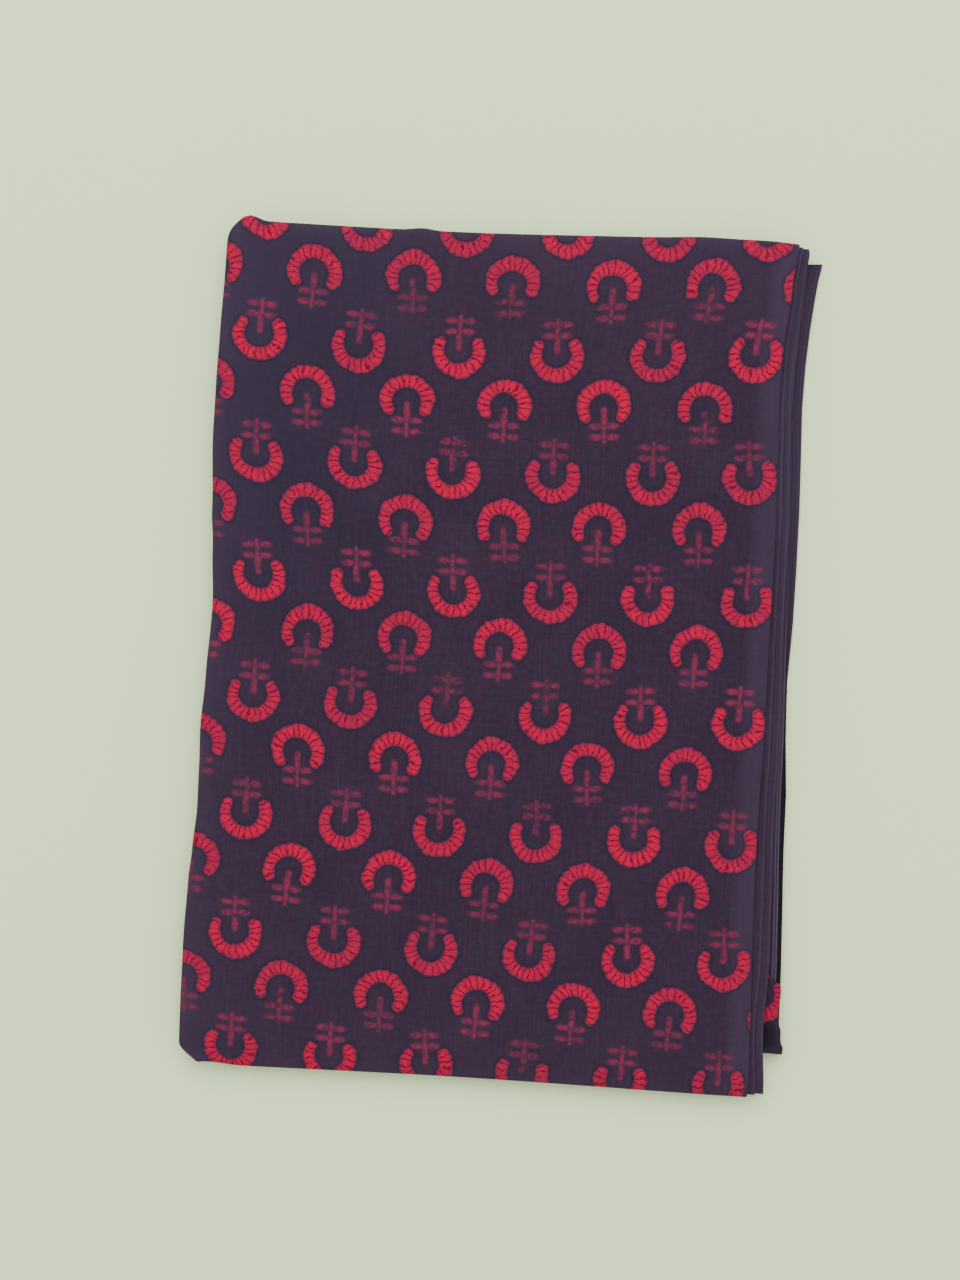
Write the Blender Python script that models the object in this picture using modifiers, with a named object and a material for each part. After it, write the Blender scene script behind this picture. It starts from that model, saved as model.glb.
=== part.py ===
"""A 2.5 m cut of block-printed cotton, folded into a flat packet and lying on a table.

The cloth is folded twice over. First it is doubled along its length, so that it makes a narrow band
with a rounded fold down its left side and loose edges down its right side. The band is then turned
back and forth across its length, at the packet's top and bottom edges, into six lengths that lie on
each other. Each layer of this solid stands for two layers of the real, much thinner cloth.

Metres, +Z up. +Y runs to the packet's top edge, and +X to its loose edges. The origin is the middle
of the packet's footprint, on the table.
"""

import math
from typing import NamedTuple

import bmesh
import bpy

# The sheet, and how closely its layers lie
SHEET = 0.0010
AIR = 0.00045
PLY = SHEET + AIR
BAND = 2 * PLY
HALF_BAND = (PLY + SHEET) / 2

# The top length of the band: where its left fold and its right edge lie, and half its own length
LEFT_FOLD_X = -0.1485
RIGHT_EDGE_X = 0.1355
HALF_LENGTH = 0.2125

# The widest rounding where the band turns back round others
TURN_RADIUS = BAND
QUARTER_STEPS = 3

# How finely a layer is divided along the band, and across it from its right edge to its left fold
ALONG_LAYER = (0.02, 0.048, 0.08, 0.16, 0.28, 0.42, 0.58, 0.72, 0.84, 0.92, 0.952, 0.98)
ACROSS_LAYER = (0.0, 0.12, 0.30, 0.50, 0.70, 0.86, 0.955, 1.0)
LEFT_FOLD_STEPS = 6


class Turn(NamedTuple):
    """One place where the band turns back or is cut. Levels number its lengths, up from the table."""

    name: str
    side: int  # +1 at the packet's top edge, -1 at its bottom edge
    arrives: int
    leaves: int
    reach: float  # from the origin to the outermost surface, along Y
    left: float  # these three: how far right of the top length's own edge
    edge_a: float
    edge_b: float
    flare: float  # how much further the right edges stand out, just here


# In the order in which the band runs, from one cut end to the other
TURNS = (
    Turn("inner cut end", +1, 1, 1, 0.2030, 0.0055, 0.0090, 0.0125, 0.0020),
    Turn("inner bottom turn", -1, 1, 2, 0.1911, 0.0050, 0.0090, 0.0130, 0.0010),
    Turn("outer top turn", +1, 2, 5, 0.2132, 0.0000, 0.0000, 0.0058, 0.0000),
    Turn("middle of the cloth", -1, 5, 4, 0.2148, 0.0000, 0.0010, 0.0080, 0.0000),
    Turn("inner top turn", +1, 4, 3, 0.2103, 0.0020, 0.0025, 0.0075, 0.0000),
    Turn("outer bottom turn", -1, 3, 0, 0.1940, 0.0060, 0.0115, 0.0150, 0.0038),
    Turn("outer cut end", +1, 0, 0, 0.2062, 0.0050, 0.0085, 0.0125, 0.0030),
)


class EdgeRow(NamedTuple):
    """How far a long edge bows to the right at one place along the packet."""

    y: float
    left: float
    right: float


EDGE_BOW = (
    EdgeRow(+0.213, +0.0010, +0.0020),
    EdgeRow(+0.190, +0.0015, -0.0002),
    EdgeRow(+0.155, +0.0008, -0.0020),
    EdgeRow(+0.105, +0.0000, -0.0021),
    EdgeRow(+0.060, +0.0018, -0.0010),
    EdgeRow(+0.018, +0.0045, -0.0005),
    EdgeRow(-0.020, +0.0032, -0.0005),
    EdgeRow(-0.065, +0.0024, -0.0011),
    EdgeRow(-0.120, +0.0003, +0.0000),
    EdgeRow(-0.165, -0.0002, +0.0012),
    EdgeRow(-0.213, +0.0004, +0.0025),
)

# How far from a turn its flare fades out
FLARE_LENGTH = 0.022

# The top and bottom edges aren't quite square to the sides: how far each one's ends lie out
TOP_EDGE_LEFT, TOP_EDGE_RIGHT = -0.0030, +0.0015
BOTTOM_EDGE_LEFT, BOTTOM_EDGE_RIGHT = +0.0015, -0.0005

# The packet's two folded corners, and the small ear that stands out beside the upper one
TOP_CORNER, TOP_CORNER_POWER = 0.0080, 2.4
BOTTOM_CORNER, BOTTOM_CORNER_POWER = 0.0085, 1.3
EAR_X, EAR_WIDTH, EAR_HEIGHT, EAR_DEPTH = -0.1365, 0.0055, 0.0028, 0.030

# The two upper lengths hang a little where nothing lies under them: past the lower ones' bottom turn,
# and past their left folds, which draw back further the nearer they are to the packet's bottom edge
UPPER_LEVELS_FROM, UPPER_LEVELS_BLEND = 3.3, 0.4
HANG_BELOW_Y, HANG_SPAN_Y, HANG_DROP_Y = -0.191, 0.024, 0.0036
HANG_LEFT_X, HANG_SPAN_X, HANG_DROP_X = -0.1435, 0.006, 0.0009
DRAWN_BACK_FROM_Y, DRAWN_BACK_SPAN = 0.12, 0.25

# The packet is fuller along its folds, and lies flatter in the middle
SWELL_AT_FOLDS, SWELL_REACH = 0.07, 0.045
RIPPLE, RIPPLE_LENGTH_X, RIPPLE_LENGTH_Y = 0.022, 0.19, 0.26
RIPPLE_PHASE_X, RIPPLE_PHASE_Y = 0.8, 0.5


def smooth(share):
    """A share from 0 to 1 that starts and ends gently."""
    share = min(max(share, 0.0), 1.0)
    return share * share * (3 - 2 * share)


def mix(a, b, share):
    return a + (b - a) * share


def edge_bow(y):
    """How far the left and right edges bow to the right, at this place along the packet."""
    rows = EDGE_BOW
    if y >= rows[0].y:
        return rows[0].left, rows[0].right
    for above, below in zip(rows, rows[1:]):
        if y >= below.y:
            share = smooth((above.y - y) / (above.y - below.y))
            return mix(above.left, below.left, share), mix(above.right, below.right, share)
    return rows[-1].left, rows[-1].right


class Station(NamedTuple):
    """One cross-section of the band: its middle, the way its upper face looks, and where its edges lie."""

    y: float
    z: float
    out_y: float
    out_z: float
    left: float
    edge_a: float
    edge_b: float
    to_end: float  # how far it is short of the turn that it is nearest to
    side: int


def level_height(level):
    return HALF_BAND + level * BAND


def corner_inset(station):
    """How far the left fold draws in where the packet's corners are rounded."""
    size, power = BOTTOM_CORNER, BOTTOM_CORNER_POWER
    if station.side > 0:
        size, power = TOP_CORNER, TOP_CORNER_POWER
    return size * max(0.0, 1 - station.to_end / size) ** power


def cut_end(turn):
    """The single station at an end of the cloth."""
    starts = turn is TURNS[0]
    heading = -turn.side if starts else turn.side
    y = turn.side * turn.reach
    edges = (turn.left, turn.edge_a + turn.flare, turn.edge_b + turn.flare)
    return [Station(y, level_height(turn.arrives), 0.0, -heading, *edges, 0.0, turn.side)]


def turn_stations(turn):
    """The stations round one turn: two quarter circles, with an upright stretch between on a wide turn."""
    if turn.arrives == turn.leaves:
        return cut_end(turn)
    rise = 1 if turn.leaves > turn.arrives else -1
    height = abs(turn.leaves - turn.arrives) * BAND
    radius = min(height / 2, TURN_RADIUS)
    tip = turn.reach - HALF_BAND
    centre_y = tip - radius
    upright = height > 2 * radius + SHEET
    stations = []
    for quarter in (0, 1):
        first = 1 if quarter and not upright else 0
        for step in range(first, QUARTER_STEPS + 1):
            angle = math.radians(90 * (quarter + step / QUARTER_STEPS))
            reach = centre_y + radius * math.sin(angle)
            if quarter == 0:
                z = level_height(turn.arrives) + rise * radius * (1 - math.cos(angle))
            else:
                z = level_height(turn.leaves) - rise * radius * (1 + math.cos(angle))
            heading_y, heading_z = turn.side * math.cos(angle), rise * math.sin(angle)
            stations.append(
                Station(
                    turn.side * reach, z, heading_z, -heading_y,
                    turn.left, turn.edge_a + turn.flare, turn.edge_b + turn.flare, tip - reach, turn.side,
                )
            )
    return stations


def layer_stations(start, end, before, after):
    """The stations of a flat length of the band, between the turns that it starts and ends at."""
    stations = []
    for share in ALONG_LAYER:
        y = mix(start.y, end.y, share)
        to_before = before.reach - HALF_BAND - before.side * y
        to_after = after.reach - HALF_BAND - after.side * y
        near, side = (to_before, before.side) if to_before < to_after else (to_after, after.side)
        across = smooth(share)
        flare = before.flare * smooth(1 - to_before / FLARE_LENGTH)
        flare += after.flare * smooth(1 - to_after / FLARE_LENGTH)
        stations.append(
            Station(
                y, start.z, start.out_y, start.out_z,
                mix(before.left, after.left, across),
                mix(before.edge_a, after.edge_a, across) + flare,
                mix(before.edge_b, after.edge_b, across) + flare,
                near, side,
            )
        )
    return stations


def band_stations():
    """Every cross-section of the band, from one cut end of the cloth to the other."""
    turns = [turn_stations(turn) for turn in TURNS]
    stations = list(turns[0])
    for number in range(1, len(TURNS)):
        start, end = turns[number - 1][-1], turns[number][0]
        stations += layer_stations(start, end, TURNS[number - 1], TURNS[number])
        stations += turns[number]
    return stations


def across_band():
    """Places across the doubled cloth: from the lower layer's right edge, round the left fold, to the
    upper layer's right edge. Each is the share of the way to the left fold, and the angle round it."""
    lower = [(share, -90.0) for share in ACROSS_LAYER]
    round_fold = [(1.0, mix(-90, 90, step / LEFT_FOLD_STEPS)) for step in range(1, LEFT_FOLD_STEPS)]
    upper = [(share, 90.0) for share in reversed(ACROSS_LAYER)]
    return lower + round_fold + upper


def hang(x, y, level):
    """How far the upper lengths drop where they reach past the ones below."""
    upper = smooth((level - UPPER_LEVELS_FROM) / UPPER_LEVELS_BLEND)
    past_bottom = max(0.0, HANG_BELOW_Y - y) / HANG_SPAN_Y
    past_left = min(1.0, max(0.0, HANG_LEFT_X - x) / HANG_SPAN_X)
    drawn_back = smooth((DRAWN_BACK_FROM_Y - y) / DRAWN_BACK_SPAN)
    return upper * (HANG_DROP_Y * past_bottom**2 + HANG_DROP_X * past_left**2 * drawn_back)


def fullness(x, y):
    """How much thicker than its pressed height the packet is here."""
    to_left = math.exp(-(((x - LEFT_FOLD_X) / SWELL_REACH) ** 2))
    to_top = math.exp(-(((y - HALF_LENGTH) / SWELL_REACH) ** 2))
    ripple_x = math.sin(math.tau * x / RIPPLE_LENGTH_X + RIPPLE_PHASE_X)
    ripple_y = math.cos(math.tau * y / RIPPLE_LENGTH_Y + RIPPLE_PHASE_Y)
    return 1 + SWELL_AT_FOLDS * max(to_left, to_top) + RIPPLE * ripple_x * ripple_y


def settle(x, y, z):
    """Moves a point of the squarely folded packet to where the real, uneven one has it."""
    level = (z - HALF_BAND) / BAND
    across = (x - LEFT_FOLD_X) / (RIGHT_EDGE_X - LEFT_FOLD_X)
    up = (y + HALF_LENGTH) / (2 * HALF_LENGTH)
    left_bow, right_bow = edge_bow(y)
    top = mix(TOP_EDGE_LEFT, TOP_EDGE_RIGHT, across)
    bottom = mix(BOTTOM_EDGE_LEFT, BOTTOM_EDGE_RIGHT, across)
    beside_ear = math.exp(-(((x - EAR_X) / EAR_WIDTH) ** 2))
    ear = EAR_HEIGHT * beside_ear * smooth((y - HALF_LENGTH + EAR_DEPTH) / EAR_DEPTH)
    pressed = SHEET / 2
    return (
        x + mix(left_bow, right_bow, across),
        y + mix(bottom, top, up) + ear,
        pressed + (z - pressed) * fullness(x, y) - hang(x, y, level),
    )


def folded_point(station, share, angle):
    """Where a place across the doubled cloth lies, at one cross-section of the band."""
    turn = math.radians(angle)
    fold_x = LEFT_FOLD_X + station.left + corner_inset(station) + HALF_BAND
    edge = station.edge_a if angle > 0 else station.edge_b
    flat_x = mix(RIGHT_EDGE_X + edge, fold_x, share)
    x = flat_x - PLY / 2 * math.cos(turn)
    lift = PLY / 2 * math.sin(turn)
    return settle(x, station.y + lift * station.out_y, station.z + lift * station.out_z)


def cotton():
    """Aubergine cotton: the ground colour of the print."""
    material = bpy.data.materials.new("printed_cotton")
    material.use_nodes = True
    shader = material.node_tree.nodes["Principled BSDF"]
    shader.inputs["Base Color"].default_value = (0.045, 0.026, 0.058, 1.0)
    shader.inputs["Roughness"].default_value = 0.9
    shader.inputs["Metallic"].default_value = 0.0
    return material


def centre_on_footprint(mesh):
    """Puts the origin at the middle of the footprint."""
    low = [min(v.co[axis] for v in mesh.vertices) for axis in (0, 1)]
    high = [max(v.co[axis] for v in mesh.vertices) for axis in (0, 1)]
    for vertex in mesh.vertices:
        vertex.co.x -= (low[0] + high[0]) / 2
        vertex.co.y -= (low[1] + high[1]) / 2


def folded_cloth(collection):
    """The whole cloth: a flat grid, folded point by point, and given its thickness."""
    stations, places = band_stations(), across_band()
    shape = bmesh.new()
    bmesh.ops.create_grid(shape, x_segments=len(places) - 1, y_segments=len(stations) - 1, size=1)
    shape.verts.ensure_lookup_table()
    for number, vertex in enumerate(shape.verts):
        row, column = divmod(number, len(places))
        vertex.co = folded_point(stations[row], *places[column])
    mesh = bpy.data.meshes.new("folded_cloth")
    shape.to_mesh(mesh)
    shape.free()
    centre_on_footprint(mesh)
    mesh.materials.append(cotton())
    cloth = bpy.data.objects.new("folded_cloth", mesh)
    collection.objects.link(cloth)
    thickness = cloth.modifiers.new("thickness", "SOLIDIFY")
    thickness.thickness = SHEET
    thickness.offset = 0.0
    thickness.use_even_offset = True
    thickness.use_rim = True
    mesh.shade_smooth()
    mesh.set_sharp_from_angle(angle=math.radians(40))
    return cloth


def main():
    for thing in list(bpy.data.objects):
        bpy.data.objects.remove(thing, do_unlink=True)
    collection = bpy.data.collections.new("folded block-printed cloth")
    bpy.context.scene.collection.children.link(collection)
    folded_cloth(collection)


main()
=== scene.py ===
# %% [markdown]
# # A folded length of block-printed cotton
#
# The real thing is one cut of thin cotton, 2.5 m long and 1.14 m wide. Its ground is dyed a dark
# aubergine, and a printer has stamped it by hand with rows of a red crescent that holds a small sprig.
# It is folded flat, as a shop folds it, and lies on a table.
#
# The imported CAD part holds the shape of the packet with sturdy 1 mm layers. Here the same folds are
# made again with cloth of its real thickness, all 24 layers of it, and then the cloth gets its weave,
# its dye and its print.

import math
from functools import partial
from typing import NamedTuple

import bpy
import numpy as np
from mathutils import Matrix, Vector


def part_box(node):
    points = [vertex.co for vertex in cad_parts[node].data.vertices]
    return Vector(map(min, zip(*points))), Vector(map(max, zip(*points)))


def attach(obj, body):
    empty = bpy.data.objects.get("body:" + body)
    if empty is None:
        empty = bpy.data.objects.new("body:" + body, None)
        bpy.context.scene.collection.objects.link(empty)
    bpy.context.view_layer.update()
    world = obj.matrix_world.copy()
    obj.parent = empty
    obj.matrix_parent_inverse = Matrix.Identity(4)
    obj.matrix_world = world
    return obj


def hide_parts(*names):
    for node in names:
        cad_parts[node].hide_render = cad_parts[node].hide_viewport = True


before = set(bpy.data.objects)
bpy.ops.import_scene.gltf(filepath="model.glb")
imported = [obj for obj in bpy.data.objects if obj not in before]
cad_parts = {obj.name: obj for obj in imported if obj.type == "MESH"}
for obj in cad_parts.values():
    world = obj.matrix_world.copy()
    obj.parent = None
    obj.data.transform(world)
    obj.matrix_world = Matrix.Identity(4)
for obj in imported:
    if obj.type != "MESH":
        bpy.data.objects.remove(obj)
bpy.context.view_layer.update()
packet_low, packet_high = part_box("folded_cloth")
print("the packet measures, in mm:", [round(1000 * side, 1) for side in packet_high - packet_low])

# %% [markdown]
# ## How the cloth is folded
#
# The cloth is first doubled along its length twice over, which makes a band of four plies. Its left
# side is a rounded fold. Its right side has the fold of the first doubling, with the two selvedges
# just past it. The band is then turned back and forth into six lengths that lie on each other.
#
# A cloth simulation could drop a sheet like this, but it never comes out as neat as hands fold it, and
# 24 plies in 18 mm are more than it can keep apart. So each fold is placed one by one. The band is
# described by its turns, in the order in which a hand would come to them along the cloth.

# %% The sheet, its plies and its lengths, in metres
THREAD_SHEET = 0.00034
PLY_GAP = 0.00070
PLY_OFFSETS = {1: 1.5 * PLY_GAP, 2: 0.5 * PLY_GAP, 3: -0.5 * PLY_GAP, 4: -1.5 * PLY_GAP}
BAND = 0.0029
CLEARANCE = 0.000005
HALF_BAND = PLY_OFFSETS[1] + THREAD_SHEET / 2 + CLEARANCE

LEFT_FOLD_X = -0.1490
RIGHT_EDGE_X = 0.1355
HALF_LENGTH = 0.2125
WIDEST_TURN = BAND
print("24 plies make a packet", round(1000 * 6 * BAND, 1), "mm thick")


# %% Where the band turns back, or is cut
class Turn(NamedTuple):
    """One place where the band turns back or is cut. Levels number its lengths, up from the table."""

    name: str
    side: int  # +1 at the packet's top edge, -1 at its bottom edge
    arrives: int
    leaves: int
    reach: float  # from the middle to the outermost surface, along y
    left: float  # these four: how far right of the top length's own edge
    centre_fold: float
    selvedge_3: float
    selvedge_4: float
    flare: float  # how much further the right edges stand out, just here
    fold_flare: float  # how much further the centre fold stands out, from a little before here


TURNS = (
    Turn("inner cut end", +1, 1, 1, 0.2021, 0.0055, 0.0085, 0.0100, 0.0118, 0.0015, 0.0),
    Turn("inner bottom turn", -1, 1, 2, 0.1895, 0.0050, 0.0100, 0.0118, 0.0136, 0.0000, 0.0),
    Turn("outer top turn", +1, 2, 5, 0.2132, 0.0000, 0.0000, 0.0026, 0.0058, 0.0005, 0.0),
    Turn("middle of the cloth", -1, 5, 4, 0.2143, 0.0000, -0.0003, 0.0040, 0.0084, 0.0000, 0.0),
    Turn("inner top turn", +1, 4, 3, 0.2103, 0.0020, 0.0025, 0.0054, 0.0068, 0.0000, 0.0),
    Turn("outer bottom turn", -1, 3, 0, 0.1924, 0.0060, 0.0080, 0.0112, 0.0128, 0.0013, 0.0071),
    Turn("outer cut end", +1, 0, 0, 0.2049, 0.0050, 0.0085, 0.0110, 0.0134, 0.0016, 0.0),
)
TOP_LEVEL = 5
SHELF_FROM, SHELF_TO, SHELF_SHARE, TIP_LENGTH = 0.016, 0.011, 0.55, 0.007
FOLD_FLARES_BY = 2.1
FOLD_FLARE_FROM, FOLD_FLARE_TO = 0.039, 0.033
FLARE_EASES_FROM, FLARE_EASES_TO, FLARE_EASES_BY = 0.031, 0.018, 0.15
print("the band has", len(TURNS) - 2, "turns and 2 cut ends")

# %% [markdown]
# ## Rows along the cloth
#
# The cloth will be a grid, so that every thread can be followed from one end to the other. Each row of
# the grid is one cross-section of the band. The top length is the one that is seen, so it has many
# rows. The hidden lengths have few, gathered near their ends, where the band starts to bend.


# %% Shares that start and end gently
def smooth(share):
    share = np.clip(share, 0.0, 1.0)
    return share * share * (3 - 2 * share)


def eases(value, start, end):
    """Goes gently from 0 to 1 as the value goes from start to end."""
    return smooth((value - start) / (end - start))


def mix(a, b, share):
    return a + (b - a) * share


def bell(value, middle, reach):
    """1 at the middle, fading to nothing on both sides."""
    return np.exp(-(((value - middle) / reach) ** 2))


def gathered(count):
    """Shares from 0 to 1, without the ends, that lie closer together near both ends."""
    return 0.5 - 0.5 * np.cos(math.pi * np.arange(1, count + 1) / (count + 1))


# %% One cross-section of the band
class Row(NamedTuple):
    """The band's middle, the way its upper face looks, and where its edges lie."""

    y: float
    z: float
    out_y: float
    out_z: float
    left: float
    centre_fold: float
    selvedge_3: float
    selvedge_4: float
    to_end: float  # how far it is short of the turn that it is nearest to
    side: int
    top: float  # 1 on the length that is seen
    bend: float  # 1 where the band turns back


def level_height(level):
    return HALF_BAND + level * BAND


def flares(turn, distance):
    """How far the centre fold and the two selvedges stand out, at a distance from a turn."""
    shelf = SHELF_SHARE * eases(distance, SHELF_FROM, SHELF_TO)
    near = turn.flare * (shelf + (1 - SHELF_SHARE) * smooth(1 - distance / TIP_LENGTH))
    near_fold = eases(distance, FOLD_FLARE_FROM, FOLD_FLARE_TO)
    eased = eases(distance, FLARE_EASES_FROM, FLARE_EASES_TO)
    near_fold = near_fold * (1 - FLARE_EASES_BY * eased)
    return np.array([near * FOLD_FLARES_BY + turn.fold_flare * near_fold, near, near])


def edges_at(turn):
    return turn.left, *(np.array(turn[6:9]) + flares(turn, 0.0))


# %% The rows of a cut end and of a turn
QUARTER_ROWS = 4


def cut_end(turn):
    heading = -turn.side if turn is TURNS[0] else turn.side
    y = turn.side * turn.reach
    return [Row(y, level_height(turn.arrives), 0.0, -heading, *edges_at(turn), 0.0, turn.side, 0, 0)]


def turn_rows(turn):
    """Two quarter circles, with an upright stretch between them on a wide turn."""
    if turn.arrives == turn.leaves:
        return cut_end(turn)
    rise = 1 if turn.leaves > turn.arrives else -1
    height = abs(turn.leaves - turn.arrives) * BAND
    radius = min(height / 2, WIDEST_TURN)
    tip = turn.reach - HALF_BAND
    upright = height > 2 * radius + THREAD_SHEET
    found = []
    for quarter in (0, 1):
        for step in range(1 if quarter and not upright else 0, QUARTER_ROWS + 1):
            angle = math.radians(90 * (quarter + step / QUARTER_ROWS))
            y = tip - radius + radius * math.sin(angle)
            start, sign = (turn.arrives, 1) if quarter == 0 else (turn.leaves, -1)
            z = level_height(start) + rise * radius * (sign - math.cos(angle))
            heading_y, heading_z = turn.side * math.cos(angle), rise * math.sin(angle)
            top = float(TOP_LEVEL in (turn.arrives, turn.leaves))
            found.append(
                Row(turn.side * y, z, heading_z, -heading_y, *edges_at(turn), tip - y, turn.side, top, 1)
            )
    return found


# %% The rows of a flat length
TOP_ROWS = 80
HIDDEN_ROWS = 20
FLARE_ROWS = np.linspace(0.004, 0.043, 14)
CORNER_ROWS = np.array((0.0012, 0.0026, 0.0042, 0.0060, 0.0080))


def length_rows(start, end, before, after):
    """The rows of a flat length, between the last row of one turn and the first of the next."""
    is_top = before.leaves == TOP_LEVEL
    shares = np.arange(1, TOP_ROWS + 1) / (TOP_ROWS + 1) if is_top else gathered(HIDDEN_ROWS)
    length = abs(end.y - start.y)
    if is_top:
        shares = np.union1d(shares, np.concatenate([CORNER_ROWS, length - CORNER_ROWS]) / length)
    for turn, near_it in ((before, FLARE_ROWS), (after, length - FLARE_ROWS)):
        if turn.fold_flare:
            shares = np.union1d(shares, near_it / length)
    found = []
    for share in shares:
        y = mix(start.y, end.y, share)
        to_before = before.reach - HALF_BAND - before.side * y
        to_after = after.reach - HALF_BAND - after.side * y
        near, side = (to_before, before.side) if to_before < to_after else (to_after, after.side)
        edges = mix(np.array(before[6:9]), np.array(after[6:9]), smooth(share))
        edges = edges + flares(before, to_before) + flares(after, to_after)
        left = mix(before.left, after.left, smooth(share))
        found.append(Row(y, start.z, start.out_y, start.out_z, left, *edges, near, side, float(is_top), 0))
    return found


# %% Every row, from one cut end of the cloth to the other
turned = [turn_rows(turn) for turn in TURNS]
rows = list(turned[0])
starts_at = [0]
for number in range(1, len(TURNS)):
    rows += length_rows(turned[number - 1][-1], turned[number][0], TURNS[number - 1], TURNS[number])
    starts_at.append(len(rows))
    rows += turned[number]
along = dict(zip(Row._fields, np.array(rows, dtype=float).T[:, :, None]))
print("the cloth has", len(rows), "rows")

# %% [markdown]
# ## Places across the cloth
#
# Each row is crossed from selvedge to selvedge. It starts at the right end of the lowest ply, runs
# left, goes round the wide outer fold on to the top ply, runs right to the centre fold, back left on
# the second ply, round the tight inner fold, and right again on the third. All plies but the top one
# are hidden, apart from their ends, so their places gather there.

# %% Places on the flat plies and round the three folds
SEEN_PLACES = 90
OUTER_FOLD_STEPS = 9
INNER_FOLD_STEPS = 6
OUTER_RADIUS = PLY_OFFSETS[1]
INNER_RADIUS = PLY_OFFSETS[2]
CENTRE_RADIUS = PLY_GAP / 2


class Place(NamedTuple):
    """A place across the cloth: on which ply, how far to its left fold, and how it stands off there."""

    ply: int
    share: float  # 0 at the ply's right edge, 1 at the left folds
    stands_right: float
    lift: float  # from the band's middle, towards its upper face


def flat_places(ply, shares):
    return [Place(ply, share, 0.0, PLY_OFFSETS[ply]) for share in shares]


def fold_places(ply, share, radius, middle, rightward, first, last, steps):
    """The places round a fold, from one angle to the other, in degrees up from level."""
    angles = np.radians(np.linspace(first, last, steps + 1)[1:-1])
    found = []
    for angle in angles:
        stands_right = rightward * radius * math.cos(angle)
        found.append(Place(ply, share, stands_right, middle + radius * math.sin(angle)))
    return found


# %% The whole way across
END_SHARE, END_PLACES, BETWEEN_PLACES = 0.12, 9, 8
near_edge = np.linspace(0, END_SHARE, END_PLACES)
between = np.linspace(END_SHARE, 1 - END_SHARE, BETWEEN_PLACES)
near_fold = np.linspace(1 - END_SHARE, 1, END_PLACES)
hidden = np.concatenate([near_edge, between[1:], near_fold[1:]])
seen = np.linspace(1, 0, SEEN_PLACES)
centre_middle = PLY_OFFSETS[1] - CENTRE_RADIUS

places = flat_places(4, hidden)
places += fold_places(4, 1.0, OUTER_RADIUS, 0.0, -1, -90, 90, OUTER_FOLD_STEPS)
first_seen = len(places)
places += flat_places(1, seen)
after_seen = len(places)
places += fold_places(1, 0.0, CENTRE_RADIUS, centre_middle, +1, 90, -90, INNER_FOLD_STEPS)
places += flat_places(2, hidden)
places += fold_places(3, 1.0, INNER_RADIUS, 0.0, -1, 90, -90, INNER_FOLD_STEPS)
places += flat_places(3, hidden[::-1])
across = dict(zip(Place._fields, np.array(places, dtype=float).T[:, None, :]))
print("each row has", len(places), "places")

# %% [markdown]
# ## Laying the folds out, then settling them
#
# First the packet is laid out as if folded square. No hand folds that true, though: the long edges of
# this one bow in and out, the ends aren't quite square to the sides, one corner has a small ear where
# the cloth bunched, and the top lengths hang a little past the ones below. The edges that show at the
# right are each spread or drawn in a little. A Lattice could bend the packet like that. A few formulas
# do it here, since the CAD part settles its layers in the same way, and so the thin cloth lies within a
# few millimetres of the solid.


# %% How the long edges bow
class EdgeRow(NamedTuple):
    """How far a long edge bows to the right at one place along the packet."""

    y: float
    left: float
    right: float


EDGE_BOW = (
    EdgeRow(+0.213, +0.0010, +0.0020),
    EdgeRow(+0.190, +0.0015, +0.0005),
    EdgeRow(+0.155, +0.0006, -0.0022),
    EdgeRow(+0.135, +0.0001, -0.0027),
    EdgeRow(+0.105, +0.0000, -0.0018),
    EdgeRow(+0.066, +0.0017, -0.0007),
    EdgeRow(+0.048, +0.0031, -0.0007),
    EdgeRow(+0.018, +0.0047, -0.0007),
    EdgeRow(-0.020, +0.0033, -0.0005),
    EdgeRow(-0.043, +0.0021, -0.0003),
    EdgeRow(-0.065, +0.0026, -0.0007),
    EdgeRow(-0.085, +0.0028, -0.0006),
    EdgeRow(-0.105, +0.0015, -0.0001),
    EdgeRow(-0.122, +0.0003, +0.0001),
    EdgeRow(-0.150, -0.0004, +0.0007),
    EdgeRow(-0.170, -0.0002, +0.0009),
    EdgeRow(-0.213, +0.0004, +0.0019),
)


def edge_bow(y):
    """How far the left and the right edge bow to the right, at each y."""
    left = np.full_like(y, EDGE_BOW[0].left)
    right = np.full_like(y, EDGE_BOW[0].right)
    for above, below in zip(EDGE_BOW, EDGE_BOW[1:]):
        share = eases(y, above.y, below.y)
        left += (below.left - above.left) * share
        right += (below.right - above.right) * share
    return left, right


# %% The corners, the ear and the ends
TOP_EDGE_LEFT, TOP_EDGE_RIGHT = -0.0032, +0.0019
BOTTOM_EDGE_LEFT, BOTTOM_EDGE_RIGHT = +0.0015, +0.0002
TOP_EDGE_WAVE, TOP_WAVE_FROM = 0.0009, 0.18
BOTTOM_EDGE_RISE = 0.0011
TOP_CORNER, TOP_CORNER_REACH = 0.0072, 0.0036
BOTTOM_CORNER, BOTTOM_CORNER_POWER = 0.0085, 1.2


class Bump(NamedTuple):
    """A soft bump with its middle at x. Where its height is negative, it is a hollow."""

    x: float
    width: float
    height: float


EAR = Bump(-0.1374, 0.0048, 0.0025)
TOP_BUMPS = (EAR, Bump(-0.0517, 0.0060, 0.0011), Bump(0.0880, 0.0150, 0.0007), Bump(0.1400, 0.0120, -0.0012))
BOTTOM_BUMPS = (Bump(-0.1334, 0.0090, -0.0012),)
BUMP_DEPTH = 0.030


def stands_out(bumps, x, to_end):
    """How far an end stands out at each x. Further in, it fades."""
    total = sum(bump.height * bell(x, bump.x, bump.width) for bump in bumps)
    return total * smooth(1 - to_end / BUMP_DEPTH)


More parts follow.
